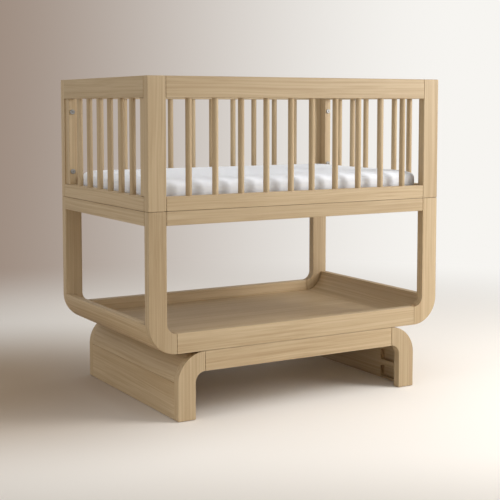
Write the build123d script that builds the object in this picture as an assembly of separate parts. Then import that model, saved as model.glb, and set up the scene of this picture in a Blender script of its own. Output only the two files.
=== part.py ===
from build123d import *
import os
from math import cos, radians, sin

# A wooden bassinet in three stacked units: a spindle-sided crib box, an open stand with a shelf,
# and a low base on four legs. Millimetres, +Z up, front towards -Y.
# The origin is on the floor, under the middle of the bassinet.

# Overall size and the heights of the three units
overall_length = 900.0
overall_depth = 580.0
base_height = 174.0
stand_height = 358.0
crib_height = 332.0

# Timber sections
frame_thickness = 24.0
post_width = 50.0
board_thickness = 20.0
arris = 1.0

# Curved corners: the inner arc is set here, and the outer one is concentric with it
inner_radius = 27.0
tray_rail_height = 52.0
base_inset = 79.0

# Crib sides and ends
crib_top_rail_height = 54.0
crib_bottom_rail_height = 36.0
end_rail_thickness = 24.0
end_stile_thickness = 20.0
end_stile_width = 28.0
end_stile_setback = 4.0

# Spindles: the middle pair of each long side stands a little closer together
spindle_diameter = 16.0
spindle_socket_depth = 12.0
side_spindle_pairs = 5
side_spindle_middle_pitch = 65.0
side_spindle_end_distance = 67.0
end_spindle_count = 6
end_spindle_end_distance = 62.0

# Stand
apron_height = 36.0

# Mattress and what carries it
mattress_thickness = 50.0
mattress_crown = 6.0
mattress_side_gap = 6.0
mattress_edge_roll = 14.0
mattress_roll_angles = (0.0, 35.0, 65.0)
mattress_crown_steps = 4
mattress_corner_radius = 34.0
mattress_draw_in = 5.0
mattress_draw_in_height = 15.0
ledger_width = 20.0
ledger_height = 12.0
ledger_lift = 4.0
ledger_end_gap = 3.0
ledger_screw_count = 4
slat_count = 9
slat_width = 60.0
slat_thickness = 10.0
slat_notch_depth = 3.0
slat_end_gap = 12.0
slat_side_gap = 2.0

# Loose tenons
tenon_thickness = 8.0
tenon_length = 32.0
tenon_margin = 8.0
stile_tenon_width = 16.0
curved_tenon_width = 24.0
curved_tenon_angle = 45.0

# Tongue and groove between the panels and their rails
tongue_thickness = 8.0
tongue_depth = 8.0

# Bolts, threaded inserts, screws
bolt_diameter = 6.0
bolt_head_diameter = 14.0
bolt_head_height = 3.5
bolt_head_chamfer = 0.9
bolt_key_size = 4.0
bolt_key_depth = 2.4
thread_engagement = 12.0
insert_diameter = 10.0
insert_length = 13.0
crib_bolt_edge_distance = 37.0
apron_bolt_inset = 150.0
apron_bolt_recess = 3.0
deck_bolt_inset_x = 90.0
deck_bolt_inset_y = 110.0
deck_bolt_recess = 2.0
screw_diameter = 4.0
screw_head_diameter = 8.0
screw_length = 35.0

# Bolt pockets in the inner faces of the base's end boards
pocket_wall = 18.0
pocket_length = 83.0
pocket_height = 32.0
pocket_depth = 14.0
pocket_corner = 6.0
pocket_bottom = 7.0
pocket_pitch = 48.0

# Floor glides
glide_diameter = 16.0
glide_thickness = 4.0
glide_standoff = 1.0

# Clearances
joint_gap = 0.1
bolt_hole_gap = 0.5
soft_gap = 0.3

# Levels and planes that follow from the sizes above
outer_radius = post_width + inner_radius
half_length = overall_length / 2
half_depth = overall_depth / 2
frame_inner = half_depth - frame_thickness
frame_middle = half_depth - frame_thickness / 2
post_inner = half_length - post_width
stand_top = base_height + stand_height
crib_top = stand_top + crib_height
crib_opening_bottom = stand_top + crib_bottom_rail_height
crib_opening_top = crib_top - crib_top_rail_height
end_rail_inner = half_length - end_rail_thickness
end_line = half_length - end_rail_thickness / 2
ledger_top = stand_top + ledger_lift + ledger_height
slat_bottom = ledger_top - slat_notch_depth
slat_top = slat_bottom + slat_thickness

LEFT_RIGHT = ((-1, "left"), (1, "right"))
FRONT_BACK = ((-1, "front"), (1, "back"))

nodes = {}
groups = {}


def bar(x_limits, y_limits, z_limits):
    """A straight piece of timber between three pairs of limits, with eased edges."""
    low = [min(pair) for pair in (x_limits, y_limits, z_limits)]
    high = [max(pair) for pair in (x_limits, y_limits, z_limits)]
    size = [b - a for a, b in zip(low, high)]
    block = Pos(*low) * Box(*size, align=(Align.MIN, Align.MIN, Align.MIN))
    return chamfer(block.edges(), arris)


def place(point, direction):
    """A frame at a point whose +Z looks against the given direction, for things driven that way."""
    return Plane(origin=point, z_dir=[-d for d in direction])


def seat(group, piece, hole, *names):
    """Add a fastener to its group and cut its hole from the nodes that it enters."""
    groups.setdefault(group, []).append(piece)
    for name in names:
        nodes[name] = nodes[name] - hole


def tenon(point, along, broad, width, gap=0.0):
    """A flat loose tenon, centred on a joint; a gap turns it into its mortise."""
    plane = Plane(origin=point, x_dir=broad, z_dir=along)
    section = plane * Rectangle(width + 2 * gap, tenon_thickness + 2 * gap)
    return extrude(section, tenon_length / 2 + gap, both=True)


def join(group, point, along, broad, width, *names):
    """Seat one loose tenon across a joint between two nodes."""
    piece = tenon(point, along, broad, width)
    seat(group, piece, tenon(point, along, broad, width, joint_gap), *names)


def rod(diameter, length):
    """A round rod from z = 0 downwards."""
    return Cylinder(diameter / 2, length, align=(Align.CENTER, Align.CENTER, Align.MAX))


def bolt(length):
    """A flat-headed furniture bolt with a hexagon socket, its shank pointing down from z = 0."""
    head = Cylinder(bolt_head_diameter / 2, bolt_head_height, align=(Align.CENTER, Align.CENTER, Align.MIN))
    head = chamfer(head.edges().group_by(Axis.Z)[-1], bolt_head_chamfer)
    key = Pos(0, 0, bolt_head_height) * extrude(RegularPolygon(bolt_key_size / 2, 6, major_radius=False),
                                                -bolt_key_depth)
    return head + rod(bolt_diameter, length) - key


def threaded_insert():
    """A threaded insert, its mouth at z = 0."""
    return rod(insert_diameter, insert_length) - rod(bolt_diameter + 2 * joint_gap, insert_length)


def screw(gap=0.0):
    """A countersunk wood screw, its head flush with z = 0; a gap turns it into its hole."""
    sink = (screw_head_diameter - screw_diameter) / 2
    head = Cone(screw_diameter / 2 + gap, screw_head_diameter / 2 + gap, sink,
                align=(Align.CENTER, Align.CENTER, Align.MAX))
    return head + rod(screw_diameter + 2 * gap, screw_length + gap)


def fasten(group, head_point, direction, grip, recess, through, into):
    """A bolt whose head bears on one node, and the threaded insert that it pulls in the other."""
    head_plane = place(head_point, direction)
    seat_plane = head_plane * Pos(0, 0, -recess)
    mouth_plane = seat_plane * Pos(0, 0, -grip)
    hole = head_plane * rod(bolt_diameter + 2 * bolt_hole_gap, recess + grip)
    if recess:
        hole = hole + head_plane * rod(bolt_head_diameter + 2 * bolt_hole_gap, recess)
    seat(group, seat_plane * bolt(grip + thread_engagement), hole, through)
    bored = mouth_plane * rod(insert_diameter + 2 * joint_gap, insert_length + joint_gap)
    seat("threaded_inserts", mouth_plane * threaded_insert(), bored, into)


def corner_post(half_span, length):
    """A front left post, standing on z = 0, whose foot sweeps round into the rail beside it."""
    turn = outer_radius
    rise = tray_rail_height + inner_radius
    outline = [
        Line((0, length), (0, turn)),
        CenterArc((turn, turn), outer_radius, 180, 90),
        Line((turn, 0), (turn, tray_rail_height)),
        CenterArc((turn, rise), inner_radius, 270, -90),
        Line((post_width, rise), (post_width, length)),
        Line((post_width, length), (0, length)),
    ]
    front = Plane(origin=(-half_span, -frame_inner, 0), x_dir=(1, 0, 0), z_dir=(0, -1, 0))
    post = extrude(front * make_face(outline), frame_thickness)
    outlines = post.faces().filter_by(Axis.Y).edges()
    across = post.edges().filter_by(Axis.Y)
    ends = across.group_by(Axis.X)[-1] + across.group_by(Axis.Z)[-1]
    return chamfer(outlines + ends, arris)


def curved_board(half_span):
    """The left quarter-round board, from the rail's end at z = 0 up to the post's straight side."""
    turn = outer_radius
    inside = outer_radius - board_thickness
    outline = [
        CenterArc((turn, turn), outer_radius, 180, 90),
        Line((turn, 0), (turn, board_thickness)),
        CenterArc((turn, turn), inside, 270, -90),
        Line((board_thickness, turn), (0, turn)),
    ]
    back = Plane(origin=(-half_span, frame_inner, 0), x_dir=(1, 0, 0), z_dir=(0, -1, 0))
    board = extrude(back * make_face(outline), 2 * frame_inner)
    return chamfer(board.edges(), arris)


def tongued_panel(half_span):
    """A flat panel with a tongue along each long edge, its underside on z = 0."""
    reach = half_span - outer_radius
    panel = bar((-reach, reach), (-frame_inner, frame_inner), (0, board_thickness))
    width = 2 * (frame_inner + tongue_depth)
    return panel + Pos(0, 0, board_thickness / 2) * Box(2 * reach, width, tongue_thickness)


def grooved_rail(half_span):
    """The front rail between two corner posts, with the groove that takes the panel's tongue."""
    reach = half_span - outer_radius
    rail = bar((-reach, reach), (-half_depth, -frame_inner), (0, tray_rail_height))
    groove = Pos(0, -frame_inner, board_thickness / 2) * Box(
        2 * reach, 2 * (tongue_depth + joint_gap), tongue_thickness + 2 * joint_gap)
    return rail - groove


def turned(piece, level, way, left_right=-1, front_back=-1):
    """Mirror a front left piece to its corner, and set it up or down from a level."""
    if left_right > 0:
        piece = piece.mirror(Plane.YZ)
    if front_back > 0:
        piece = piece.mirror(Plane.XZ)
    if way < 0:
        piece = piece.mirror(Plane.XY)
    return Pos(0, 0, level) * piece


def build_tray(unit, post_word, panel_name, half_span, level, way, post_length):
    """A tray of two rails, two quarter-round boards and a panel, with a post at each corner.

    The stand's tray opens upwards from its level, and the base's tray opens downwards.
    """
    reach = half_span - outer_radius
    nodes[panel_name] = turned(tongued_panel(half_span), level, way)
    for sx, end in LEFT_RIGHT:
        nodes[f"{unit}_{end}_curved_board"] = turned(curved_board(half_span), level, way, sx)
    for sy, side in FRONT_BACK:
        rail = f"{unit}_{side}_rail"
        nodes[rail] = turned(grooved_rail(half_span), level, way, -1, sy)
        for sx, end in LEFT_RIGHT:
            post = f"{unit}_{side}_{end}_{post_word}"
            nodes[post] = turned(corner_post(half_span, post_length), level, way, sx, sy)
            groove_top = (board_thickness + tongue_thickness) / 2
            height = tray_rail_height - groove_top - 2 * tenon_margin
            middle = groove_top + tenon_margin + height / 2
            join(f"{unit}_tenons", (sx * reach, sy * frame_middle, level + way * middle),
                 (1, 0, 0), (0, 0, 1), height, rail, post)
            join_curved_board(unit, post, end, sx, sy, sx * reach, level + way * outer_radius, way)


def join_curved_board(unit, post, end, sx, sy, centre_x, centre_z, way):
    """A tenon between a quarter-round board and the post that caps its end, set along the curve."""
    radius = outer_radius - board_thickness / 2
    across = cos(radians(curved_tenon_angle))
    upright = sin(radians(curved_tenon_angle))
    point = (centre_x + sx * radius * across, sy * frame_inner, centre_z - way * radius * upright)
    join(f"{unit}_tenons", point, (0, 1, 0), (sx * upright, 0, way * across), curved_tenon_width,
         f"{unit}_{end}_curved_board", post)


def build_base():
    """The base: a downward tray on four legs, closed at its ends by flat boards."""
    half_span = half_length - base_inset
    build_tray("base", "leg", "deck_panel", half_span, base_height, -1, base_height - glide_standoff)
    board_inner = half_span - board_thickness
    for sx, end in LEFT_RIGHT:
        board = f"base_{end}_end_board"
        nodes[board] = bar((sx * board_inner, sx * half_span), (-frame_inner, frame_inner),
                           (glide_standoff, base_height - outer_radius))
        for sy, side in FRONT_BACK:
            leg = f"base_{side}_{end}_leg"
            for row in range(2):
                bolt_pocket(board, leg, sx, sy, board_inner, pocket_bottom + row * pocket_pitch)
            glide(leg, sx * (half_span - post_width / 2), sy * frame_middle)
        part_end_board(board, end)


def part_end_board(board, end):
    """The end board is glued up from two staves that meet midway between its rows of pockets."""
    glue_line = Plane.XY.offset(pocket_bottom + (pocket_height + pocket_pitch) / 2)
    whole = nodes.pop(board)
    nodes[f"base_{end}_upper_stave"] = split(whole, glue_line, keep=Keep.TOP)
    nodes[f"base_{end}_lower_stave"] = split(whole, glue_line, keep=Keep.BOTTOM)


def bolt_pocket(board, leg, sx, sy, board_inner, bottom):
    """A pocket in the end board's inner face, and the bolt that runs from it into the leg."""
    wall_face = frame_inner - pocket_wall
    height = bottom + pocket_height / 2
    plane = Plane(origin=(sx * board_inner, sy * (wall_face - pocket_length / 2), height),
                  x_dir=(0, 1, 0), z_dir=(sx, 0, 0))
    pocket = extrude(plane * RectangleRounded(pocket_length, pocket_height, pocket_corner), pocket_depth)
    nodes[board] = nodes[board] - pocket
    line = sx * (board_inner + pocket_depth / 2)
    fasten("short_bolts", (line, sy * wall_face, height), (0, sy, 0), pocket_wall, 0.0, board, leg)


def glide(leg, x, y):
    """A round glide let into the underside of a leg."""
    foot = Pos(x, y, glide_thickness) * rod(glide_diameter, glide_thickness)
    hole = Pos(x, y, glide_thickness) * rod(glide_diameter + 2 * joint_gap, glide_thickness)
    seat("floor_glides", foot, hole, leg)


def build_stand():
    """The stand: an upward tray on the base, four tall posts and a ring of aprons."""
    build_tray("stand", "post", "shelf_panel", half_length, base_height, 1, stand_height)
    z_limits = (stand_top - apron_height, stand_top)
    middle = stand_top - apron_height / 2
    height = apron_height - 2 * tenon_margin
    for sy, side in FRONT_BACK:
        apron = f"stand_{side}_apron"
        nodes[apron] = bar((-post_inner, post_inner), (sy * frame_inner, sy * half_depth), z_limits)
        for sx, end in LEFT_RIGHT:
            join("stand_tenons", (sx * post_inner, sy * frame_middle, middle),
                 (1, 0, 0), (0, 0, 1), height, apron, f"stand_{side}_{end}_post")
    for sx, end in LEFT_RIGHT:
        apron = f"stand_{end}_apron"
        nodes[apron] = bar((sx * end_rail_inner, sx * half_length), (-frame_inner, frame_inner), z_limits)
        for sy, side in FRONT_BACK:
            join("stand_tenons", (sx * end_line, sy * frame_inner, middle),
                 (0, 1, 0), (0, 0, 1), height, apron, f"stand_{side}_{end}_post")
    half_span = half_length - base_inset
    for sx, end in LEFT_RIGHT:
        for sy, side in FRONT_BACK:
            spot = (sx * (half_span - outer_radius - deck_bolt_inset_x),
                    sy * (frame_inner - deck_bolt_inset_y), base_height - board_thickness)
            fasten("short_bolts", spot, (0, 0, 1), board_thickness - deck_bolt_recess, deck_bolt_recess,
                   "deck_panel", "shelf_panel")


def spread(count, half_range):
    """Evenly spaced places from one end of a range to the other, about its middle."""
    return [half_range * (2 * i / (count - 1) - 1) for i in range(count)]


def side_spindle_places():
    """Places along a long side: two even runs with a narrower space at the middle."""
    first = side_spindle_middle_pitch / 2
    last = post_inner - side_spindle_end_distance
    run = [first + (last - first) * i / (side_spindle_pairs - 1) for i in range(side_spindle_pairs)]
    return [-x for x in reversed(run)] + run


def spindle(group, x, y, *rails):
    """One round spindle in blind sockets in the rails above and below it."""
    height = crib_opening_top - crib_opening_bottom + 2 * spindle_socket_depth
    middle = Pos(x, y, (crib_opening_top + crib_opening_bottom) / 2)
    piece = middle * Cylinder(spindle_diameter / 2, height - 2 * joint_gap)
    hole = middle * Cylinder(spindle_diameter / 2 + joint_gap, height)
    seat(group, piece, hole, *rails)


def build_crib_side(sy, side):
    """A long side of the crib: two posts, two rails and its spindles."""
    y_limits = (sy * frame_inner, sy * half_depth)
    top, bottom = f"crib_{side}_top_rail", f"crib_{side}_bottom_rail"
    nodes[top] = bar((-post_inner, post_inner), y_limits, (crib_opening_top, crib_top))
    nodes[bottom] = bar((-post_inner, post_inner), y_limits, (stand_top, crib_opening_bottom))
    rails = ((top, crib_top_rail_height, crib_opening_top), (bottom, crib_bottom_rail_height, stand_top))
    for sx, end in LEFT_RIGHT:
        post = f"crib_{side}_{end}_post"
        nodes[post] = bar((sx * post_inner, sx * half_length), y_limits, (stand_top, crib_top))
        for rail, rail_height, rail_bottom in rails:
            join("crib_tenons", (sx * post_inner, sy * frame_middle, rail_bottom + rail_height / 2),
                 (1, 0, 0), (0, 0, 1), rail_height - 2 * tenon_margin, rail, post)
        spot = (sx * (post_inner - apron_bolt_inset), sy * frame_middle, stand_top - apron_height)
        fasten("apron_bolts", spot, (0, 0, 1), apron_height - apron_bolt_recess, apron_bolt_recess,
               f"stand_{side}_apron", bottom)
    for x in side_spindle_places():
        spindle(f"crib_{side}_spindles", x, sy * frame_middle, top, bottom)


def build_crib_end(sx, end):
    """An end of the crib: two rails, two set-back stiles, its spindles and the bolts to the sides."""
    x_limits = (sx * end_rail_inner, sx * half_length)
    top, bottom = f"crib_{end}_top_rail", f"crib_{end}_bottom_rail"
    nodes[top] = bar(x_limits, (-frame_inner, frame_inner), (crib_opening_top, crib_top))
    nodes[bottom] = bar(x_limits, (-frame_inner, frame_inner), (stand_top, crib_opening_bottom))
    stile_outer = half_length - end_stile_setback
    stile_face = frame_inner - end_stile_width
    for sy, side in FRONT_BACK:
        stile = f"crib_{end}_{side}_stile"
        nodes[stile] = bar((sx * (stile_outer - end_stile_thickness), sx * stile_outer),
                           (sy * stile_face, sy * frame_inner), (crib_opening_bottom, crib_opening_top))
        stile_x = sx * (stile_outer - end_stile_thickness / 2)
        stile_y = sy * (stile_face + end_stile_width / 2)
        for rail, way in ((top, 1), (bottom, -1)):
            level = crib_opening_top if way > 0 else crib_opening_bottom
            join("crib_tenons", (stile_x, stile_y, level), (0, 0, 1), (0, 1, 0),
                 stile_tenon_width, rail, stile)
            height = level - way * crib_bolt_edge_distance
            fasten("end_panel_bolts", (stile_x, sy * stile_face, height), (0, sy, 0), end_stile_width,
                   0.0, stile, f"crib_{side}_{end}_post")
    for y in spread(end_spindle_count, stile_face - end_spindle_end_distance):
        spindle(f"crib_{end}_spindles", sx * end_line, y, top, bottom)


def build_mattress_support():
    """Two notched ledgers on the long sides' lower rails, and the slats that lie in the notches."""
    places = spread(slat_count, end_rail_inner - slat_end_gap - slat_width / 2)
    ledger_length = end_rail_inner - ledger_end_gap
    slat_reach = frame_inner - slat_side_gap
    ledgers = {side: ledger_strip(sy, ledger_length) for sy, side in FRONT_BACK}
    for x in places:
        x_limits = (x - slat_width / 2, x + slat_width / 2)
        slat = bar(x_limits, (-slat_reach, slat_reach), (slat_bottom, slat_top))
        notch = Pos(x, 0, slat_top) * Box(slat_width + 2 * joint_gap, 2 * frame_inner, 2 * slat_thickness)
        groups.setdefault("mattress_slats", []).append(slat)
        for side in ledgers:
            ledgers[side] -= notch
    for sy, side in FRONT_BACK:
        nodes[f"{side}_ledger"] = ledgers[side]
        for screw_number in range(ledger_screw_count):
            space = round(screw_number * (slat_count - 2) / (ledger_screw_count - 1))
            x = (places[space] + places[space + 1]) / 2
            face = (x, sy * (frame_inner - ledger_width), ledger_top - ledger_height / 2)
            driven = place(face, (0, sy, 0))
            seat("ledger_screws", driven * screw(), driven * screw(joint_gap),
                 f"{side}_ledger", f"crib_{side}_bottom_rail")


def ledger_strip(sy, reach):
    """A plain ledger against the inner face of a long side's lower rail."""
    return bar((-reach, reach), (sy * (frame_inner - ledger_width), sy * frame_inner),
               (ledger_top - ledger_height, ledger_top))


def mattress_sections():
    """Pairs of inset and height: the drawn-in side, the rolled upper edge, then the crown."""
    roll = mattress_edge_roll
    edge_top = mattress_thickness - mattress_crown
    sections = [(mattress_draw_in, 0.0), (0.0, mattress_draw_in_height)]
    for angle in mattress_roll_angles:
        sections.append((roll * (1 - cos(radians(angle))), edge_top - roll * (1 - sin(radians(angle)))))
    for step in range(1, mattress_crown_steps):
        share = step / mattress_crown_steps
        inset = roll + share * (frame_inner - mattress_side_gap - mattress_corner_radius - roll)
        sections.append((inset, edge_top + mattress_crown * (1 - (1 - share) ** 2)))
    return sections


def build_mattress():
    """The mattress, a ruled loft through rounded outlines that lies just clear of the slats."""
    length = 2 * (end_rail_inner - mattress_side_gap)
    width = 2 * (frame_inner - mattress_side_gap)
    outlines = []
    for inset, height in mattress_sections():
        outline = RectangleRounded(length - 2 * inset, width - 2 * inset, mattress_corner_radius)
        outlines.append(Pos(0, 0, slat_top + soft_gap + height) * outline)
    nodes["mattress"] = loft(outlines, ruled=True)


def write_parts():
    """One file for each node, and one for each group of like pieces."""
    os.makedirs("parts", exist_ok=True)
    for name, pieces in groups.items():
        nodes[name] = Compound(children=[piece.solid() for piece in pieces])
    for name, shape in nodes.items():
        export_step(shape, f"parts/{name}.step")


build_base()
build_stand()
for sy, side in FRONT_BACK:
    build_crib_side(sy, side)
for sx, end in LEFT_RIGHT:
    build_crib_end(sx, end)
build_mattress_support()
build_mattress()
write_parts()
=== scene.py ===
from math import radians

import bpy
import numpy as np
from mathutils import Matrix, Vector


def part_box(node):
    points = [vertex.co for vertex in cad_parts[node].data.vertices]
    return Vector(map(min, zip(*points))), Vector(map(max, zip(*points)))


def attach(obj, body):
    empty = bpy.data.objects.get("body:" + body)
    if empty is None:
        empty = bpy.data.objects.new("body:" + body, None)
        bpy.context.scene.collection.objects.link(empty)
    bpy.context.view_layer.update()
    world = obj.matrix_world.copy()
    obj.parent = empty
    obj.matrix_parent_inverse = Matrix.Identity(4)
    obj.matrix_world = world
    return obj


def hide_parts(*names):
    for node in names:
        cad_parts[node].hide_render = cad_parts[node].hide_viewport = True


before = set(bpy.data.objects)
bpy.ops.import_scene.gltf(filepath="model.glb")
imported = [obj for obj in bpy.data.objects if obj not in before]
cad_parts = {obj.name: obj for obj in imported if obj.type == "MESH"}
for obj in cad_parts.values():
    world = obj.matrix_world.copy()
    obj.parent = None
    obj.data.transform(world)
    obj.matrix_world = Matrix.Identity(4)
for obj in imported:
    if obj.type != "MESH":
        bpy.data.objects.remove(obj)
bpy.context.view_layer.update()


# The picture. A long lens looks at the bassinet from the front and a little to its left, and a
# window-sized light stands to the right of it. The floor and the air behind are pale, with painted
# shade.
lens_mm = 80.455
lens_shift = -0.11
camera_place = (-1.6007, -2.7454, 0.7905)
camera_turn = radians(30.34)
camera_dip = radians(4.565)

towards_camera = (-0.505, -0.863, 0.0)
towards_right = (0.863, -0.505, 0.0)

camera = bpy.data.objects.new("camera", bpy.data.cameras.new("camera"))
camera.location = camera_place
camera.rotation_euler = (radians(90) - camera_dip, 0, -camera_turn)
camera.data.lens = lens_mm
camera.data.shift_y = lens_shift
bpy.context.scene.collection.objects.link(camera)
bpy.context.scene.camera = camera
bpy.context.scene.view_settings.view_transform = "Standard"


def paint(code):
    """An sRGB hex colour, turned to the linear values that the shaders take."""
    shares = [int(code[i:i + 2], 16) / 255 for i in (1, 3, 5)]
    return (*[s / 12.92 if s <= 0.04045 else ((s + 0.055) / 1.055) ** 2.4 for s in shares], 1.0)


def node(tree, kind, inputs={}, **settings):
    """Add one shader node, set it, and fill or link its inputs."""
    made = tree.nodes.new(kind)
    for name, value in settings.items():
        setattr(made, name, value)
    for name, value in inputs.items():
        if isinstance(value, bpy.types.NodeSocket):
            tree.links.new(value, made.inputs[name])
        else:
            made.inputs[name].default_value = value
    return made


def start_finish(name):
    """A new material with an empty tree."""
    finish = bpy.data.materials.new(name)
    finish.use_nodes = True
    finish.node_tree.nodes.clear()
    return finish, finish.node_tree


def lamp(name, power, width, height, place, aim):
    """A soft upright light, its power in watts and its sides in metres, turned to face a point."""
    light = bpy.data.lights.new(name, "AREA")
    light.shape = "RECTANGLE"
    light.energy = power
    light.size = width
    light.size_y = height
    placed = bpy.data.objects.new(name, light)
    placed.location = place
    away = placed.location - type(placed.location)(aim)
    placed.rotation_euler = away.to_track_quat("Z", "Y").to_euler()
    bpy.context.scene.collection.objects.link(placed)


lamp("window", 46.0, 1.0, 1.5, (1.75, -1.6, 1.42), (0.1, 0.0, 0.45))
lamp("ceiling_bounce", 21.0, 2.2, 2.2, (0.2, -0.5, 3.0), (0.1, -0.1, 0.0))
lamp("wall_bounce", 15.0, 1.6, 1.2, (-3.2, -0.5, 0.9), (0.0, 0.0, 0.55))

# The air. It lights the bassinet evenly; where it is looked at it is pale, with one soft painted shade.
air_light = 0.44
painted_shade_left = 0.27
painted_shade_reach = 0.46


def air_tone(tree, way):
    """The colour of the air in a direction: a painted shade left of the picture's middle, pale
    elsewhere.
    """
    across = node(tree, "ShaderNodeVectorMath", {0: way, 1: towards_right}, operation="DOT_PRODUCT")
    from_painted_shade = node(tree, "ShaderNodeMath", {0: across.outputs["Value"], 1: painted_shade_left},
                      operation="ADD")
    apart = node(tree, "ShaderNodeMath", {0: from_painted_shade.outputs[0]}, operation="ABSOLUTE")
    share = node(tree, "ShaderNodeMapRange", {"Value": apart.outputs[0], "From Min": 0.0,
                 "From Max": painted_shade_reach}, interpolation_type="SMOOTHSTEP")
    # The painted shade's colour is #9a887b; the rest of the air is #f7f5f1.
    return node(tree, "ShaderNodeMix", {"Factor": share.outputs["Result"], 6: paint("#9a887b"),
                7: paint("#f7f5f1")}, data_type="RGBA")


world = bpy.data.worlds.new("air")
world.use_nodes = True
bpy.context.scene.world = world
tree = world.node_tree
tree.nodes.clear()
seen = node(tree, "ShaderNodeLightPath")
way = node(tree, "ShaderNodeTexCoord")
tone = air_tone(tree, way.outputs["Generated"])
shown = node(tree, "ShaderNodeBackground", {"Color": tone.outputs[2], "Strength": 1.0})
lit = node(tree, "ShaderNodeBackground", {"Color": paint("#fffefd"), "Strength": air_light})
direct = node(tree, "ShaderNodeMath", {0: seen.outputs["Is Camera Ray"],
              1: seen.outputs["Is Transmission Ray"]}, operation="MAXIMUM")
both = node(tree, "ShaderNodeMixShader", {0: direct.outputs[0], 1: lit.outputs[0], 2: shown.outputs[0]})
node(tree, "ShaderNodeOutputWorld", {"Surface": both.outputs[0]})

# The floor: smooth painted plaster, matt. Its colour carries painted shade towards the camera and a
# painted shadow behind the left end, and far off it takes the colour of the air behind it.
floor_half = 14.0
floor_clear, floor_lost = 0.9, 2.6
near_shade_start, near_shade_end = 0.65, 1.5
painted_shadow_place = (-0.75, 0.35, 0.0)
painted_shadow_start, painted_shadow_end = 0.15, 1.0

floor_mesh = bpy.data.meshes.new("floor")
floor_mesh.from_pydata([(-floor_half, -floor_half, 0), (floor_half, -floor_half, 0),
                        (floor_half, floor_half, 0), (-floor_half, floor_half, 0)], [], [(0, 1, 2, 3)])
floor = bpy.data.objects.new("floor", floor_mesh)
bpy.context.scene.collection.objects.link(floor)

plaster, tree = start_finish("painted_plaster_floor")
where = node(tree, "ShaderNodeTexCoord")
from_lens = node(tree, "ShaderNodeVectorMath", {0: where.outputs["Object"], 1: camera_place},
                 operation="SUBTRACT")
outward = node(tree, "ShaderNodeVectorMath", {0: from_lens.outputs[0]}, operation="NORMALIZE")
tone = air_tone(tree, outward.outputs[0])
distance = node(tree, "ShaderNodeVectorMath", {0: where.outputs["Object"]}, operation="LENGTH")
far = node(tree, "ShaderNodeMapRange", {"Value": distance.outputs["Value"], "From Min": floor_clear,
           "From Max": floor_lost}, interpolation_type="SMOOTHSTEP")
seen = node(tree, "ShaderNodeLightPath")
far_seen = node(tree, "ShaderNodeMath", {0: far.outputs["Result"], 1: seen.outputs["Is Camera Ray"]},
                operation="MULTIPLY")
# Painted shade: towards the camera the floor's colour darkens from #faf4ec to #b4aca0.
ahead = node(tree, "ShaderNodeVectorMath", {0: where.outputs["Object"], 1: towards_camera},
             operation="DOT_PRODUCT")
near_shade = node(tree, "ShaderNodeMapRange", {"Value": ahead.outputs["Value"], "From Min": near_shade_start,
            "From Max": near_shade_end}, interpolation_type="SMOOTHSTEP")
floor_with_near_shade = node(tree, "ShaderNodeMix", {"Factor": near_shade.outputs["Result"], 6: paint("#faf4ec"),
            7: paint("#b4aca0")}, data_type="RGBA")
# A painted shadow of the bassinet: near a point behind its left end the floor's colour goes to #b09a81.
from_painted_shadow = node(tree, "ShaderNodeVectorMath", {0: where.outputs["Object"], 1: painted_shadow_place},
                  operation="DISTANCE")
painted_shadow = node(tree, "ShaderNodeMapRange", {"Value": from_painted_shadow.outputs["Value"], "From Min": painted_shadow_start,
            "From Max": painted_shadow_end, "To Min": 1.0, "To Max": 0.0}, interpolation_type="SMOOTHSTEP")
painted_floor_shade = node(tree, "ShaderNodeMix", {"Factor": painted_shadow.outputs["Result"], 6: floor_with_near_shade.outputs[2],
              7: paint("#b09a81")}, data_type="RGBA")
matt = node(tree, "ShaderNodeBsdfPrincipled", {"Base Color": painted_floor_shade.outputs[2], "Roughness": 0.85})
air = node(tree, "ShaderNodeEmission", {"Color": tone.outputs[2], "Strength": 1.0})
both = node(tree, "ShaderNodeMixShader", {0: far_seen.outputs[0], 1: matt.outputs[0],
            2: air.outputs[0]})
node(tree, "ShaderNodeOutputMaterial", {"Surface": both.outputs[0]})
floor.data.materials.append(plaster)


# The base. Four legs, whose tops sweep round into the rails, carry a grooved rail at the front and
# back, a quarter-round board at each end that follows the same sweep, and a flat end board below
# it. All are solid pale oak, sawn and sanded, with every edge eased, and sealed with a matt oil.
# In metres: the rounding of a face's rim, the easing of a long corner, and the width and depth of
# the fine line that shows where two boards meet. The easing is more than the rounding and the line's
# width together, or an outline drawn in by both would cross itself.
edge = 0.0010
ease = 0.0018
joint_line = 0.0004
joint_line_depth = 0.005
ease_steps = 3
round_steps = 20


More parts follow.
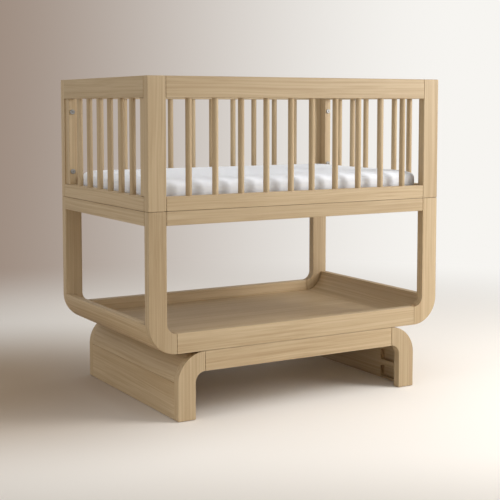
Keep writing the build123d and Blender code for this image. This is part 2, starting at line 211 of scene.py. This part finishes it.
def oak(grain):
    """Oiled oak with its grain along one axis: even straight lines from the growth rings, broad
    soft bands of colour, thin open pores, and rings cut across where a face shows the end grain."""
    turns = {"x": (0, 0, 0), "y": (0, 0, radians(-90)), "z": (0, radians(90), 0)}
    axis = [float(name == grain) for name in "xyz"]
    finish, tree = start_finish(f"oiled_oak_grain_{grain}")
    where = node(tree, "ShaderNodeTexCoord")
    turned = node(tree, "ShaderNodeMapping", {"Vector": where.outputs["Object"],
                  "Rotation": turns[grain]})
    board = node(tree, "ShaderNodeAttribute", attribute_name="board")
    shift = node(tree, "ShaderNodeVectorMath", {0: (3.1, 7.7, 12.9), 3: board.outputs["Fac"]},
                 operation="SCALE")
    along = node(tree, "ShaderNodeVectorMath", {0: turned.outputs[0], 1: shift.outputs[0]},
                 operation="ADD")
    # The lines of the grain wander by about 6 mm over half a metre.
    slow = node(tree, "ShaderNodeVectorMath", {0: along.outputs[0], 1: (2.0, 7.0, 7.0)},
                operation="MULTIPLY")
    wander = node(tree, "ShaderNodeTexNoise", {"Vector": slow.outputs[0], "Scale": 1.0, "Detail": 1.0})
    bend = node(tree, "ShaderNodeVectorMath", {0: wander.outputs["Color"], 1: (0.0, 0.022, 0.022)},
                operation="MULTIPLY")
    bent = node(tree, "ShaderNodeVectorMath", {0: along.outputs[0], 1: bend.outputs[0]},
                operation="ADD")
    # Broad bands about 50 mm wide, growth lines and fibres. The last two are drawn 5 mm and 2 mm
    # wide, several times coarser than the real ones, so that they show.
    layers = []
    for size, detail in (((0.7, 20.0, 20.0), 1.0), ((1.2, 190.0, 190.0), 1.0),
                         ((5.0, 520.0, 520.0), 2.0)):
        drawn = node(tree, "ShaderNodeVectorMath", {0: bent.outputs[0], 1: size}, operation="MULTIPLY")
        layers.append(node(tree, "ShaderNodeTexNoise", {"Vector": drawn.outputs[0], "Scale": 1.0,
                                                        "Detail": detail, "Roughness": 0.55}))
    bands, lines, fibres = [layer.outputs["Fac"] for layer in layers]
    sum_one = node(tree, "ShaderNodeMath", {0: bands, 1: 0.7, 2: -0.35}, operation="MULTIPLY_ADD")
    sum_two = node(tree, "ShaderNodeMath", {0: lines, 1: 1.25, 2: sum_one.outputs[0]},
                   operation="MULTIPLY_ADD")
    sum_all = node(tree, "ShaderNodeMath", {0: fibres, 1: 0.7, 2: sum_two.outputs[0]},
                   operation="MULTIPLY_ADD")
    depth = node(tree, "ShaderNodeMapRange", {"Value": sum_all.outputs[0], "From Min": 0.30,
                 "From Max": 1.50})
    face = node(tree, "ShaderNodeMix", {"Factor": depth.outputs["Result"], 6: paint("#cdb794"),
                7: paint("#a88d67")}, data_type="RGBA")
    # Each board is a little lighter or darker than the next.
    chance = node(tree, "ShaderNodeTexWhiteNoise", {"W": board.outputs["Fac"]}, noise_dimensions="1D")
    light = node(tree, "ShaderNodeMapRange", {"Value": chance.outputs["Value"], "To Min": 0.93,
                 "To Max": 1.05})
    toned = node(tree, "ShaderNodeVectorMath", {0: face.outputs[2], 3: light.outputs["Result"]},
                 operation="SCALE")
    # Rings on the end grain, about a centre well outside the board. They are drawn 10 mm apart,
    # several times coarser than the real ones, so that they show.
    centre = node(tree, "ShaderNodeVectorMath", {0: bent.outputs[0], 1: (0.0, 0.09, 0.04)},
                  operation="ADD")
    rings = node(tree, "ShaderNodeTexWave", {"Vector": centre.outputs[0], "Scale": 30.0,
                 "Distortion": 1.2, "Detail": 2.0, "Detail Scale": 3.0}, wave_type="RINGS",
                 rings_direction="X")
    across = node(tree, "ShaderNodeMix", {"Factor": rings.outputs["Fac"], 6: paint("#b4946a"),
                  7: paint("#8f7148")}, data_type="RGBA")
    normal = node(tree, "ShaderNodeNewGeometry")
    facing = node(tree, "ShaderNodeVectorMath", {0: normal.outputs["Normal"], 1: axis},
                  operation="DOT_PRODUCT")
    squarely = node(tree, "ShaderNodeMath", {0: facing.outputs["Value"]}, operation="ABSOLUTE")
    cut = node(tree, "ShaderNodeMapRange", {"Value": squarely.outputs[0], "From Min": 0.75,
               "From Max": 0.95})
    colour = node(tree, "ShaderNodeMix", {"Factor": cut.outputs["Result"], 6: toned.outputs[0],
                  7: across.outputs[2]}, data_type="RGBA")
    # Sealed with oil and rubbed down: satin, duller on the dense lines, with open pores drawn 0.7 mm
    # wide and 17 mm long.
    dull = node(tree, "ShaderNodeMapRange", {"Value": fibres, "To Min": 0.42, "To Max": 0.62})
    dash = node(tree, "ShaderNodeVectorMath", {0: bent.outputs[0], 1: (60.0, 1500.0, 1500.0)},
                operation="MULTIPLY")
    pores = node(tree, "ShaderNodeTexNoise", {"Vector": dash.outputs[0], "Scale": 1.0, "Detail": 1.0})
    open_pores = node(tree, "ShaderNodeMapRange", {"Value": pores.outputs["Fac"], "From Min": 0.30,
                      "From Max": 0.42})
    relief = node(tree, "ShaderNodeMath", {0: fibres, 1: 0.5, 2: open_pores.outputs["Result"]},
                  operation="MULTIPLY_ADD")
    bump = node(tree, "ShaderNodeBump", {"Height": relief.outputs[0], "Strength": 0.35,
                "Distance": 0.0002})
    wood = node(tree, "ShaderNodeBsdfPrincipled", {"Base Color": colour.outputs[2], "IOR": 1.5,
                "Roughness": dull.outputs["Result"], "Normal": bump.outputs[0]})
    node(tree, "ShaderNodeOutputMaterial", {"Surface": wood.outputs[0]})
    return finish


oak_along = {grain: oak(grain) for grain in "xyz"}


def arc(centre, radius, start, stop, steps):
    """Points on an arc, centre + |radius| (cos a, sin a), with the angle a in even steps of degrees,
    and their normals, which look out of the wood. A negative radius is a hollow."""
    angle = np.radians(np.linspace(start, stop, steps + 1))[:, None]
    way = np.hstack([np.cos(angle), np.sin(angle)])
    return np.asarray(centre) + abs(radius) * way, np.sign(radius) * way


def corner(u, v, start):
    """An eased outer corner, turning from the side that looks along start to the next one."""
    turn = np.radians([start, start + 90])
    centre = np.array([u, v]) - ease * np.array([np.cos(turn).sum(), np.sin(turn).sum()])
    return arc(centre, ease, start, start + 90, ease_steps)


def outline(*arcs):
    """Arcs joined by straight lines, as one closed run of points and one of normals."""
    return np.vstack([a[0] for a in arcs]), np.vstack([a[1] for a in arcs])


def rings_to_skin(places, leans=None):
    """Rings of points joined ring to ring by four-sided faces and closed by a face at each end. The
    sum of each face's middle times its area vector says whether they look outwards."""
    rings, count = places.shape[:2]
    index = np.arange(rings * count).reshape(rings, count)
    after = np.roll(index, -1, axis=1)
    quads = np.stack([index[:-1], after[:-1], after[1:], index[1:]], -1).reshape(-1, 4)
    flat = places.reshape(-1, 3)
    spots = flat[quads]
    areas = np.cross(spots[:, 2] - spots[:, 0], spots[:, 3] - spots[:, 1])
    outward = ((spots.mean(1) - flat.mean(0)) * areas).sum() > 0
    step = 1 if outward else -1
    faces = quads[:, ::step].tolist()
    faces += [index[0][::-step].tolist(), index[-1][::step].tolist()]
    return flat, faces, None if leans is None else leans.reshape(-1, 3)


def board_plate(shape, axes, low, high):
    """A board cut to an outline, its faces across the third axis. Each ring is the outline drawn in
    by edge (1 - cos t) and a fine joint line, and set in by edge (1 - sin t) from its face, with t
    from 90 degrees to 0. Its normals lean by t from the outline's own to the face's. A last ring,
    deeper in, closes the joint line, so that two boards meet there."""
    points, normals = shape
    t = np.radians([90, 60, 30, 0, 0])
    drawn = joint_line + edge * (1 - np.cos(t))
    depth = edge * (1 - np.sin(t))
    drawn[-1], depth[-1] = 0.0, joint_line_depth
    t, drawn, depth = [np.concatenate([run, run[::-1]])[:, None] for run in (t, drawn, depth)]
    side = np.repeat([-1.0, 1.0], 5)[:, None]
    places = np.empty((10, len(points), 3))
    leans = np.empty_like(places)
    for axis in (0, 1):
        places[..., axes[axis]] = points[:, axis] - drawn * normals[:, axis]
        leans[..., axes[axis]] = np.cos(t) * normals[:, axis]
    places[..., axes[2]] = np.where(side < 0, low, high) - side * depth
    leans[..., axes[2]] = side * np.sin(t)
    return rings_to_skin(places, leans)


def make_piece(name, skins, replaced, body, finish, board=0.0):
    """One object from its skins, which stands for a solid, rides on its body and has its finish."""
    starts = np.cumsum([0] + [len(skin[0]) for skin in skins])
    faces = [[start + i for i in face] for start, skin in zip(starts.tolist(), skins)
             for face in skin[1]]
    mesh = bpy.data.meshes.new(name)
    mesh.from_pydata(np.vstack([skin[0] for skin in skins]), [], faces)
    mesh.shade_smooth()
    if skins[0][2] is None:
        mesh.set_sharp_from_angle(angle=radians(35))
    else:
        mesh.normals_split_custom_set_from_vertices(np.vstack([skin[2] for skin in skins]).tolist())
    seeds = mesh.attributes.new("board", "FLOAT", "POINT")
    shares = np.broadcast_to(board, len(skins))
    seeds.data.foreach_set("value", np.repeat(shares, np.diff(starts)))
    mesh.materials.append(finish)
    made = bpy.data.objects.new(name, mesh)
    bpy.context.scene.collection.objects.link(made)
    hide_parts(replaced)
    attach(made, body)
    return made


# Each board takes the next of these, so that no two show the same stretch of the grain.
board_seeds = iter(np.arange(1, 100) * 0.618 % 1)


def cut_board(replaced, shape, axes, limits, grain):
    """One oak board in place of a solid, with its own stretch of the grain."""
    skin = board_plate(shape, axes, *limits)
    make_piece(f"{replaced}_board", [skin], replaced, "frame", oak_along[grain],
               next(board_seeds))


def straight_board(replaced, axes, grain, low=None, high=None):
    """A straight board that fills a solid's box, or the limits given in its place."""
    near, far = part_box(replaced)
    near = near if low is None else low
    far = far if high is None else high
    u, v, w = axes
    shape = outline(corner(near[u], near[v], 180), corner(far[u], near[v], 270),
                    corner(far[u], far[v], 0), corner(near[u], far[v], 90))
    cut_board(replaced, shape, axes, (near[w], far[w]), grain)


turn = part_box("base_front_left_leg")[1].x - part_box("base_front_left_leg")[0].x
post_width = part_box("crib_front_left_post")[1].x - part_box("crib_front_left_post")[0].x
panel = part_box("shelf_panel")
board_thickness = panel[1].z - panel[0].z
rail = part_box("stand_front_rail")
rail_height = rail[1].z - rail[0].z
frame_inner = -rail[1].y
hollow = turn - post_width


def mirrored(shape, sx, span, way, level):
    """An outline drawn from the left end's bottom corner, turned to its end and its way up."""
    points, normals = shape
    points = np.column_stack([sx * (span - points[:, 0]), level + way * points[:, 1]])
    return points, normals * (-sx, way)


def post_shape(length):
    """A post whose foot sweeps round into the rail. The outer arc has the radius turn about (turn,
    turn). The inner one's radius, hollow, is less by the post's width, and its centre is on the same
    upright line, hollow above the rail, so that it runs smoothly into both."""
    lost = np.degrees(np.arcsin(ease / turn))
    lost_inside = np.degrees(np.arcsin(ease / hollow))
    return outline(
        arc((turn, turn), turn, 180, 270 - lost, round_steps),
        corner(turn, 0, 270), corner(turn, rail_height, 0),
        arc((turn, rail_height + hollow), -hollow, 270 - lost_inside, 180, round_steps),
        corner(post_width, length, 0), corner(0, length, 90))


def curved_shape():
    """A quarter round from the rail's end to the post's straight side."""
    lost = np.degrees(np.arcsin(ease / turn))
    inside = turn - board_thickness
    lost_inside = np.degrees(np.arcsin(ease / inside))
    return outline(
        arc((turn, turn), turn, 180 + lost, 270 - lost, round_steps),
        corner(turn, 0, 270), corner(turn, board_thickness, 0),
        arc((turn, turn), -inside, 270 - lost_inside, 180 + lost_inside, round_steps),
        corner(board_thickness, turn, 0), corner(0, turn, 90))


def build_tray(unit, post_word, way):
    """The posts, rails and quarter-round boards of one unit: the base's hang from its top, and the
    stand's rise from its bottom."""
    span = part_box(f"{unit}_right_curved_board")[1].x
    near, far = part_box(f"{unit}_front_left_{post_word}")
    level = near.z if way > 0 else far.z
    for sx, end in ((-1, "left"), (1, "right")):
        curve = mirrored(curved_shape(), sx, span, way, level)
        cut_board(f"{unit}_{end}_curved_board", curve, (0, 2, 1), (-frame_inner, frame_inner), "y")
        post = mirrored(post_shape(far.z - near.z), sx, span, way, level)
        for side in ("front", "back"):
            name = f"{unit}_{side}_{end}_{post_word}"
            low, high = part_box(name)
            cut_board(name, post, (0, 2, 1), (low.y, high.y), "z")
    for side in ("front", "back"):
        straight_board(f"{unit}_{side}_rail", (0, 2, 1), "x")


build_tray("base", "leg", -1)

# The deck: one wide oak panel, glued up, whose tongues run in grooves in the rails. They are hidden
# there, so the board that shows stops at the rails' inner faces.
low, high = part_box("deck_panel")
straight_board("deck_panel", (0, 1, 2), "x", (low.x, -frame_inner, low.z),
               (high.x, frame_inner, high.z))

# The flat end boards: oak, glued up from two staves each, with bolt pockets routed in their inner
# faces. They keep their own solids.
def finish_solid(name, finish):
    """Give a solid that stays in the picture its material."""
    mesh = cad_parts[name].data
    mesh.materials.clear()
    mesh.materials.append(finish)


for end in ("left", "right"):
    for level in ("upper", "lower"):
        finish_solid(f"base_{end}_{level}_stave", oak_along["y"])


def metal(name, colour, dull):
    """Plated or cast fixings: even and greyish, with marks from the tool 0.5 mm apart, and patches
    6 mm wide that are a little duller from handling."""
    finish, tree = start_finish(name)
    where = node(tree, "ShaderNodeTexCoord")
    marks = node(tree, "ShaderNodeTexNoise", {"Vector": where.outputs["Object"], "Scale": 2000.0,
                 "Detail": 2.0})
    worn = node(tree, "ShaderNodeTexNoise", {"Vector": where.outputs["Object"], "Scale": 180.0,
                "Detail": 3.0})
    rough = node(tree, "ShaderNodeMapRange", {"Value": worn.outputs["Fac"], "To Min": dull - 0.1,
                 "To Max": dull + 0.1})
    bump = node(tree, "ShaderNodeBump", {"Height": marks.outputs["Fac"], "Strength": 0.2,
                "Distance": 0.0001})
    steel = node(tree, "ShaderNodeBsdfPrincipled", {"Base Color": paint(colour), "Metallic": 1.0,
                 "Roughness": rough.outputs["Result"], "Normal": bump.outputs[0]})
    node(tree, "ShaderNodeOutputMaterial", {"Surface": steel.outputs[0]})
    return finish


# Short bolts of zinc-plated steel join the end boards to the legs and the deck to the shelf. They
# screw into inserts of cast zinc alloy, which are duller and darker.
zinc = metal("zinc_plated_steel", "#9d9b97", 0.48)
insert_alloy = metal("zinc_alloy_insert", "#8d8c88", 0.5)
finish_solid("short_bolts", zinc)
finish_solid("threaded_inserts", insert_alloy)

# Loose tenons of beech, planed and glued into the joints: plain and pinkish, with short flecks 2 to
# 3 mm long.
beech, tree = start_finish("beech_tenon")
where = node(tree, "ShaderNodeTexCoord")
drawn = node(tree, "ShaderNodeMapping", {"Vector": where.outputs["Object"],
             "Scale": (300.0, 300.0, 500.0)})
flecks = node(tree, "ShaderNodeTexNoise", {"Vector": drawn.outputs[0], "Scale": 1.0, "Detail": 2.0})
tone = node(tree, "ShaderNodeMix", {"Factor": flecks.outputs["Fac"], 6: paint("#d9b48a"),
            7: paint("#b98f63")}, data_type="RGBA")
bump = node(tree, "ShaderNodeBump", {"Height": flecks.outputs["Fac"], "Strength": 0.3,
            "Distance": 0.0002})
wood = node(tree, "ShaderNodeBsdfPrincipled", {"Base Color": tone.outputs[2], "Roughness": 0.6,
            "Normal": bump.outputs[0]})
node(tree, "ShaderNodeOutputMaterial", {"Surface": wood.outputs[0]})
finish_solid("base_tenons", beech)

# Four glides of moulded nylon, tapped into the legs, keep the oak off the floor. The mould leaves
# them satin, with a fine even texture drawn 0.8 mm wide.
nylon, tree = start_finish("moulded_nylon")
where = node(tree, "ShaderNodeTexCoord")
spark = node(tree, "ShaderNodeTexNoise", {"Vector": where.outputs["Object"], "Scale": 1200.0,
             "Detail": 1.0})
tone = node(tree, "ShaderNodeMix", {"Factor": spark.outputs["Fac"], 6: paint("#7d7468"),
            7: paint("#8b8276")}, data_type="RGBA")
bump = node(tree, "ShaderNodeBump", {"Height": spark.outputs["Fac"], "Strength": 0.2,
            "Distance": 0.0001})
plastic = node(tree, "ShaderNodeBsdfPrincipled", {"Base Color": tone.outputs[2], "Roughness": 0.45,
               "Normal": bump.outputs[0]})
node(tree, "ShaderNodeOutputMaterial", {"Surface": plastic.outputs[0]})
finish_solid("floor_glides", nylon)


# The stand. Its tray is the base's turned over, with longer posts, and holds the shelf panel. Four
# aprons tie the posts at the top, where the crib box stands on them. All are oak, as in the base.
build_tray("stand", "post", 1)
low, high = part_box("shelf_panel")
straight_board("shelf_panel", (0, 1, 2), "x", (low.x, -frame_inner, low.z),
               (high.x, frame_inner, high.z))
for side in ("front", "back"):
    straight_board(f"stand_{side}_apron", (0, 2, 1), "x")
for end in ("left", "right"):
    straight_board(f"stand_{end}_apron", (1, 2, 0), "y")
finish_solid("stand_tenons", beech)
finish_solid("apron_bolts", zinc)


# The crib box. Each long side is two posts, two rails and ten round spindles, glued up. Each end is
# two rails, two stiles set back from the outside, and six spindles, bolted between the long sides.
for side in ("front", "back"):
    for end in ("left", "right"):
        straight_board(f"crib_{side}_{end}_post", (0, 2, 1), "z")
    for height in ("top", "bottom"):
        straight_board(f"crib_{side}_{height}_rail", (0, 2, 1), "x")
for end in ("left", "right"):
    for height in ("top", "bottom"):
        straight_board(f"crib_{end}_{height}_rail", (1, 2, 0), "y")
    for side in ("front", "back"):
        straight_board(f"crib_{end}_{side}_stile", (1, 2, 0), "z")

# The spindles: turned oak rods, glued into blind holes in both rails. Each shows its own grain.
spindle_radius = 0.008
middle_pitch = 0.065
side_pairs = 5
end_spindles = 6
side_seed_step = 0.37
end_seed_step = 0.29
rod_sides = 32
rod_rings = 5


def rod(x, y, bottom, top):
    """A turned rod: the points of a circle, centre + radius (cos a, sin a), at a few heights."""
    angle = np.linspace(0, 2 * np.pi, rod_sides, endpoint=False)
    height = np.linspace(bottom, top, rod_rings)[:, None]
    places = np.empty((rod_rings, rod_sides, 3))
    places[..., 0] = x + spindle_radius * np.cos(angle)
    places[..., 1] = y + spindle_radius * np.sin(angle)
    places[..., 2] = height
    return rings_to_skin(places)


for side in ("front", "back"):
    low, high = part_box(f"crib_{side}_spindles")
    run = np.linspace(middle_pitch / 2, high.x - spindle_radius, side_pairs)
    middle = (low.y + high.y) / 2
    rods = [rod(x, middle, low.z, high.z) for x in np.concatenate([-run[::-1], run])]
    make_piece(f"{side}_turned_spindles", rods, f"crib_{side}_spindles", "frame", oak_along["z"],
               np.arange(2 * side_pairs) * side_seed_step % 1)
for end in ("left", "right"):
    low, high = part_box(f"crib_{end}_spindles")
    middle = (low.x + high.x) / 2
    rods = [rod(middle, y, low.z, high.z)
            for y in np.linspace(low.y + spindle_radius, high.y - spindle_radius, end_spindles)]
    make_piece(f"{end}_turned_spindles", rods, f"crib_{end}_spindles", "frame", oak_along["z"],
               np.arange(end_spindles) * end_seed_step % 1)

# Beech tenons, and bolts with flat round heads, hold the crib together.
finish_solid("crib_tenons", beech)
finish_solid("end_panel_bolts", zinc)


# The mattress support. A notched ledger of oak is screwed to the inside of each bottom rail, and
# nine thin oak slats lie loose in the notches.
for side in ("front", "back"):
    finish_solid(f"{side}_ledger", oak_along["x"])
finish_solid("mattress_slats", oak_along["y"])
finish_solid("ledger_screws", zinc)


# The mattress. A foam core in a white fitted sheet of woven cotton: the top is flat, the edges are
# soft and round, and the sides draw in below. It lies loose on the slats, 6 mm clear all round.
# In metres: how far inside the solid the skin starts, how far it swells, and how finely it is
# divided; its height above the slats; and the radii of its corners and of its rolled edge.
sheet_start = 0.003
sheet_swell = 0.0055
sheet_voxel = 0.006
sheet_lift = 0.0006
sheet_corner = 0.030
sheet_corner_steps = 10
sheet_edge = 0.016
sheet_pressure = 4.0
settle_frames = 20

# Fitted sheet: woven cotton, bright white and matt, with faint creases 70 mm long. Its threads are
# drawn 0.8 mm apart, about three times coarser than the real ones, so that they show.
cotton, tree = start_finish("white_cotton_sheet")
where = node(tree, "ShaderNodeTexCoord")
waves = [node(tree, "ShaderNodeTexWave", {"Vector": where.outputs["Object"], "Scale": 393.0,
              "Distortion": 0.6, "Detail Scale": 40.0}, bands_direction=way) for way in "XY"]
weave = node(tree, "ShaderNodeMath", {0: waves[0].outputs["Fac"], 1: waves[1].outputs["Fac"]},
             operation="MAXIMUM")
crease = node(tree, "ShaderNodeTexNoise", {"Vector": where.outputs["Object"], "Scale": 14.0,
              "Detail": 3.0, "Roughness": 0.55})
creased = node(tree, "ShaderNodeMath", {0: crease.outputs["Fac"], 1: 22.0, 2: weave.outputs[0]},
               operation="MULTIPLY_ADD")
bump = node(tree, "ShaderNodeBump", {"Height": creased.outputs[0], "Strength": 0.5, "Distance": 0.0001})
tone = node(tree, "ShaderNodeMix", {"Factor": weave.outputs[0], 6: paint("#ecf0f8"),
            7: paint("#f6f9fe")}, data_type="RGBA")
cloth = node(tree, "ShaderNodeBsdfPrincipled", {"Base Color": tone.outputs[2], "Roughness": 0.85,
             "Sheen Weight": 0.15, "Sheen Roughness": 0.5, "Normal": bump.outputs[0]})
node(tree, "ShaderNodeOutputMaterial", {"Surface": cloth.outputs[0]})

low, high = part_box("mattress")
half = np.array([(high.x - low.x) / 2, (high.y - low.y) / 2]) - sheet_start
bottom, top = low.z + sheet_lift, high.z - sheet_start


def pad_rings():
    """A rounded rectangle at each height. It is drawn in by edge (1 - cos a) as the top edge rolls
    over, with a from 0 to 90 degrees, and likewise below."""
    rings = []
    for a, middle, way in [(a, bottom + sheet_edge, -1) for a in (90, 72, 54, 36, 18, 0)] + [
            (a, top - sheet_edge, 1) for a in (0, 18, 36, 54, 72, 90)]:
        drawn = sheet_edge * (1 - np.cos(radians(a)))
        reach = half - sheet_corner
        run = [arc((sx * reach[0], sy * reach[1]), sheet_corner - drawn, start, start + 90,
                   sheet_corner_steps)[0]
               for sx, sy, start in ((1, 1, 0), (-1, 1, 90), (-1, -1, 180), (1, -1, 270))]
        height = middle + way * sheet_edge * np.sin(radians(a))
        run = np.vstack(run)
        rings.append(np.column_stack([run, np.full(len(run), height)]))
    return np.array(rings)


pad = make_piece("fitted_sheet_mattress", [rings_to_skin(pad_rings())], "mattress", "mattress_body",
                 cotton)

# The skin is divided evenly before it settles, so that it swells alike everywhere.
remesh = pad.modifiers.new("even", "REMESH")
remesh.mode = "VOXEL"
remesh.voxel_size = sheet_voxel
remesh.use_smooth_shade = True
bpy.context.view_layer.update()
evened = bpy.data.meshes.new_from_object(pad.evaluated_get(bpy.context.evaluated_depsgraph_get()))
pad.modifiers.clear()
pad.data = evened


def points_of(mesh):
    """The places of a mesh's points, one row each."""
    places = np.empty(3 * len(mesh.vertices))
    mesh.vertices.foreach_get("co", places)
    return places.reshape(-1, 3)


def swell(piece, reach):
    """Let a cloth skin settle under air pressure, and move each point by reach tanh(d / reach),
    where d is how far it went."""
    start = points_of(piece.data)
    cloth = piece.modifiers.new("cloth", "CLOTH")
    cloth.settings.use_pressure = True
    cloth.settings.uniform_pressure_force = sheet_pressure
    cloth.settings.effector_weights.gravity = 0.0
    scene = bpy.context.scene
    for moment in range(1, settle_frames + 1):
        scene.frame_set(moment)
    settled = piece.evaluated_get(bpy.context.evaluated_depsgraph_get()).to_mesh()
    move = points_of(settled) - start
    piece.evaluated_get(bpy.context.evaluated_depsgraph_get()).to_mesh_clear()
    piece.modifiers.clear()
    scene.frame_set(1)
    length = np.linalg.norm(move, axis=1)[:, None]
    moved = start + move / np.maximum(length, 1e-9) * reach * np.tanh(length / reach)
    moved[:, 2] = np.maximum(moved[:, 2], bottom)
    piece.data.vertices.foreach_set("co", moved.ravel())
    piece.data.update()


swell(pad, sheet_swell)
finer = pad.modifiers.new("finer", "SUBSURF")
finer.levels = finer.render_levels = 1
pad.data.shade_smooth()
